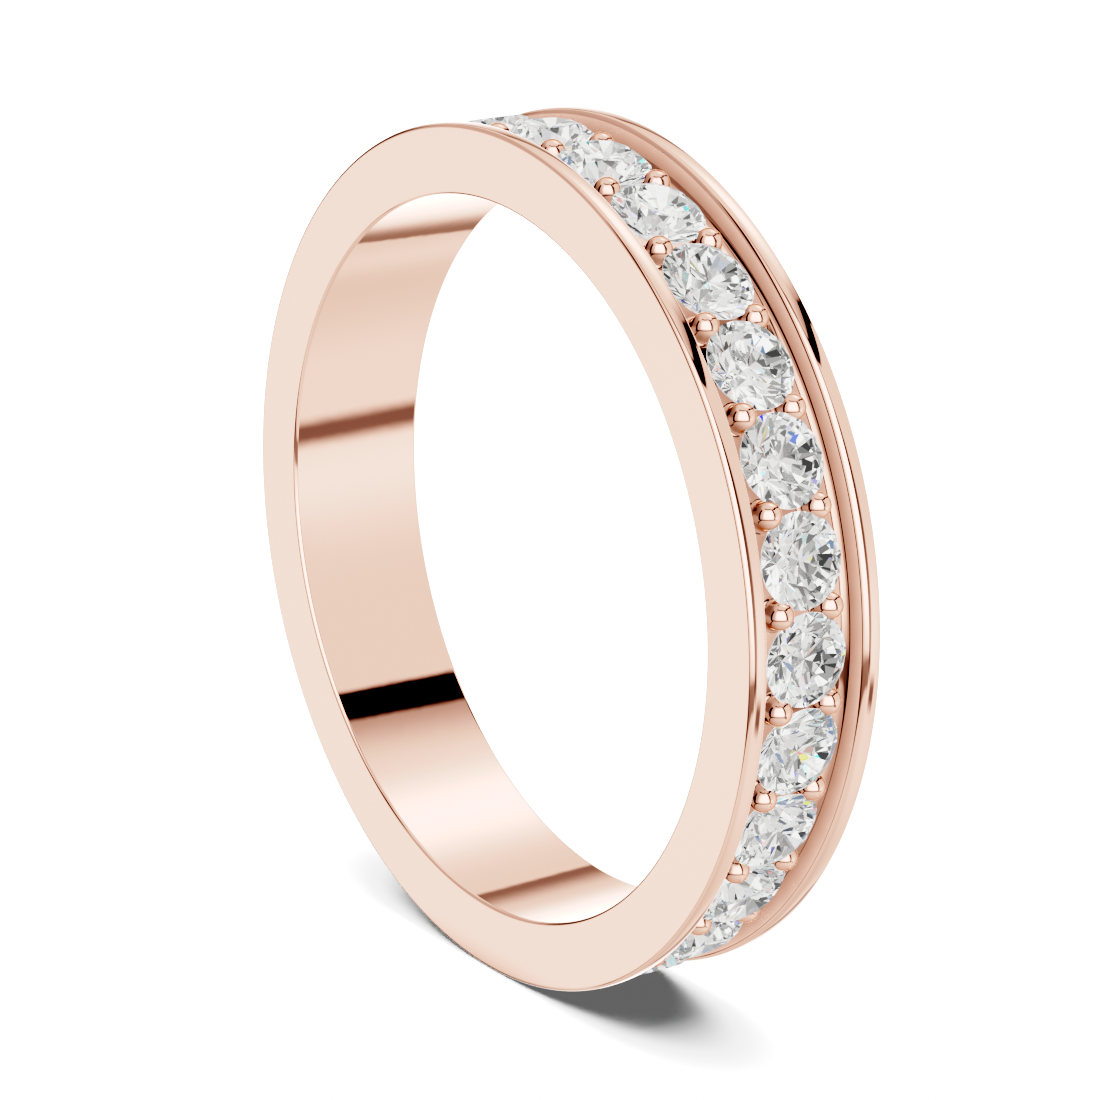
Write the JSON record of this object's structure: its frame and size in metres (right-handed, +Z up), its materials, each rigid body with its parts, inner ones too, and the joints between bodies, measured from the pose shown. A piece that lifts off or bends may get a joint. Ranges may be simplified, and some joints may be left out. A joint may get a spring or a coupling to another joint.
{
  "type": "wedding band",
  "caption": "Channelled ring with a full circle of round brilliant-cut stones, held between two rails by pairs of ball-topped prongs.",
  "frame": {"origin": "centre of the bore, midway between the two side faces", "axes": "+Y along the ring's axis, from the front face to the back face; +Z up through the middle of stone_01, as the ring stands on its edge"},
  "size_m": [0.0202, 0.0036, 0.0202],
  "materials": {
    "rose_gold": "mirror-polished 14 k rose gold",
    "diamond": "polished facets, colourless"
  },
  "bodies": {
    "root": {"band": "rose_gold", "stone_01": "diamond", "stone_02": "diamond", "stone_03": "diamond", "stone_04": "diamond", "stone_05": "diamond", "stone_06": "diamond", "stone_07": "diamond", "stone_08": "diamond", "stone_09": "diamond", "stone_10": "diamond", "stone_11": "diamond", "stone_12": "diamond", "stone_13": "diamond", "stone_14": "diamond", "stone_15": "diamond", "stone_16": "diamond", "stone_17": "diamond", "stone_18": "diamond", "stone_19": "diamond", "stone_20": "diamond", "stone_21": "diamond", "stone_22": "diamond", "stone_23": "diamond", "stone_24": "diamond", "stone_25": "diamond", "stone_26": "diamond", "stone_27": "diamond", "stone_28": "diamond", "prong_pair_01": "rose_gold", "prong_pair_02": "rose_gold", "prong_pair_03": "rose_gold", "prong_pair_04": "rose_gold", "prong_pair_05": "rose_gold", "prong_pair_06": "rose_gold", "prong_pair_07": "rose_gold", "prong_pair_08": "rose_gold", "prong_pair_09": "rose_gold", "prong_pair_10": "rose_gold", "prong_pair_11": "rose_gold", "prong_pair_12": "rose_gold", "prong_pair_13": "rose_gold", "prong_pair_14": "rose_gold", "prong_pair_15": "rose_gold", "prong_pair_16": "rose_gold", "prong_pair_17": "rose_gold", "prong_pair_18": "rose_gold", "prong_pair_19": "rose_gold", "prong_pair_20": "rose_gold", "prong_pair_21": "rose_gold", "prong_pair_22": "rose_gold", "prong_pair_23": "rose_gold", "prong_pair_24": "rose_gold", "prong_pair_25": "rose_gold", "prong_pair_26": "rose_gold", "prong_pair_27": "rose_gold", "prong_pair_28": "rose_gold"}
  },
  "joints": []
}
